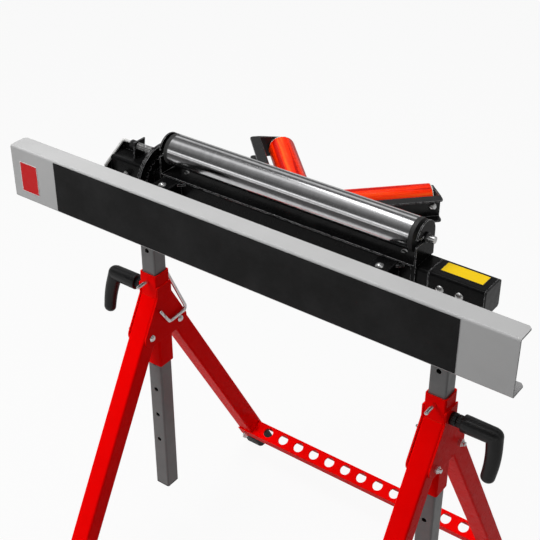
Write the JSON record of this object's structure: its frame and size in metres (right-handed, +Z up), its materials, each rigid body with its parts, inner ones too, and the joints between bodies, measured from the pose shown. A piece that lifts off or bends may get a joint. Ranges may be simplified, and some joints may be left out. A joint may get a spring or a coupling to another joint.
{
  "type": "roller stand",
  "caption": "Folding roller stand: turning head with a steel roller, a fence channel with grip strip and a V of two rollers, on telescopic pinned posts and folding legs.",
  "frame": {"origin": "on the floor, below the middle of the stand's bounding box", "axes": "+X along the head to the side with the plain yellow label, +Y towards the V rollers at the back, +Z up"},
  "size_m": [1, 0.729, 0.9725],
  "materials": {
    "red": "glossy powder coat",
    "grey": "satin powder coat",
    "black": "satin powder coat",
    "silver": "satin powder coat",
    "zinc": "bright zinc plating",
    "steel": "turned steel",
    "dark_steel": "blackened steel",
    "chrome": "bright plated tube",
    "orange": "glossy plastic",
    "plastic": "black moulded plastic",
    "rubber": "moulded rubber",
    "nylon": "natural nylon",
    "grip": "fine grained grip strip",
    "label": "plain yellow sticker",
    "badge": "plain red plate"
  },
  "bodies": {
    "base": {"sleeve_left": "red", "sleeve_right": "red", "leg_pivot_bolts": "zinc", "leg_pivot_nuts": "zinc", "leg_washers": "nylon", "clamp_bosses": "dark_steel"},
    "front_legs": {"leg_front_left": "red", "leg_front_right": "red", "brace_front": "red", "brace_bolts_front": "zinc", "feet_front": "rubber"},
    "back_legs": {"leg_back_left": "red", "leg_back_right": "red", "brace_back": "red", "brace_bolts_back": "zinc", "feet_back": "rubber"},
    "mast": {"post_left": "grey", "post_right": "grey", "post_plugs": "plastic", "housing_left": "black", "housing_right": "black", "housing_cap": "plastic", "trunnions": "steel", "housing_bolts": "zinc", "housing_nuts": "zinc", "index_plate_fixed": "black", "index_bracket": "black", "index_spring": "zinc", "setting_label": "label"},
    "head": {"turning_beam": "black", "beam_bushes": "nylon", "index_plate_turning": "black", "roller_frame": "black", "roller_axle": "zinc", "axle_clips": "dark_steel", "axle_spacers": "zinc", "frame_screws": "zinc", "fence_channel": "silver", "grip_strip": "grip", "badge_plate": "badge", "arm_sockets": "black", "fence_arms": "black", "arm_bolts": "zinc", "web_screws": "zinc", "v_channel_left": "black", "v_channel_right": "black", "v_axles": "zinc", "v_axle_nuts": "zinc", "v_web_screws": "zinc"},
    "work_roller": {"roller_tube": "chrome", "roller_caps": "plastic", "roller_bearings": "steel"},
    "v_roller_left": {"v_roller_left": "orange"},
    "v_roller_right": {"v_roller_right": "orange"},
    "clamp_lever_left": {"clamp_lever_left": "plastic"},
    "clamp_lever_right": {"clamp_lever_right": "plastic"},
    "lock_pin_left": {"lock_pin_left": "zinc"},
    "lock_pin_right": {"lock_pin_right": "zinc"},
    "index_pin": {"index_pin": "zinc", "index_knob": "plastic"}
  },
  "joints": [
    {"name": "front_legs_fold", "type": "hinge", "parent": "base", "child": "front_legs", "pos_m": [0, -0.0425, 0.5345], "axis": [1, 0, 0], "range_deg": [0, 28.5]},
    {"name": "back_legs_fold", "type": "hinge", "parent": "base", "child": "back_legs", "pos_m": [0, 0.0425, 0.5345], "axis": [-1, 0, 0], "range_deg": [0, 28.5]},
    {"name": "mast_height", "type": "slide", "parent": "base", "child": "mast", "axis": [0, 0, 1], "range_m": [-0.067, 0.335]},
    {"name": "head_turn", "type": "hinge", "parent": "mast", "child": "head", "pos_m": [0, 0, 0.8765], "axis": [-1, 0, 0], "range_deg": [0, 90]},
    {"name": "work_roller_spin", "type": "hinge", "parent": "head", "child": "work_roller", "pos_m": [0, 0, 0.944], "axis": [1, 0, 0], "continuous": true},
    {"name": "v_roller_left_spin", "type": "hinge", "parent": "head", "child": "v_roller_left", "pos_m": [0, 0.044, 0.8885], "axis": [-0.7071, 0.7071, 0], "continuous": true},
    {"name": "v_roller_right_spin", "type": "hinge", "parent": "head", "child": "v_roller_right", "pos_m": [0, 0.044, 0.8885], "axis": [0.7071, 0.7071, 0], "continuous": true},
    {"name": "clamp_left_turn", "type": "hinge", "parent": "base", "child": "clamp_lever_left", "pos_m": [-0.315, 0, 0.6175], "axis": [-1, 0, 0], "continuous": true},
    {"name": "clamp_right_turn", "type": "hinge", "parent": "base", "child": "clamp_lever_right", "pos_m": [0.315, 0, 0.6175], "axis": [1, 0, 0], "continuous": true},
    {"name": "lock_pin_left_pull", "type": "slide", "parent": "base", "child": "lock_pin_left", "axis": [0, 1, 0], "range_m": [0, 0.09]},
    {"name": "lock_pin_right_pull", "type": "slide", "parent": "base", "child": "lock_pin_right", "axis": [0, 1, 0], "range_m": [0, 0.09]},
    {"name": "index_pin_pull", "type": "slide", "parent": "mast", "child": "index_pin", "axis": [-1, 0, 0], "range_m": [0, 0.01], "stiffness_N_per_m": 400, "springref_m": -0.004, "deforming": ["index_spring"]}
  ]
}
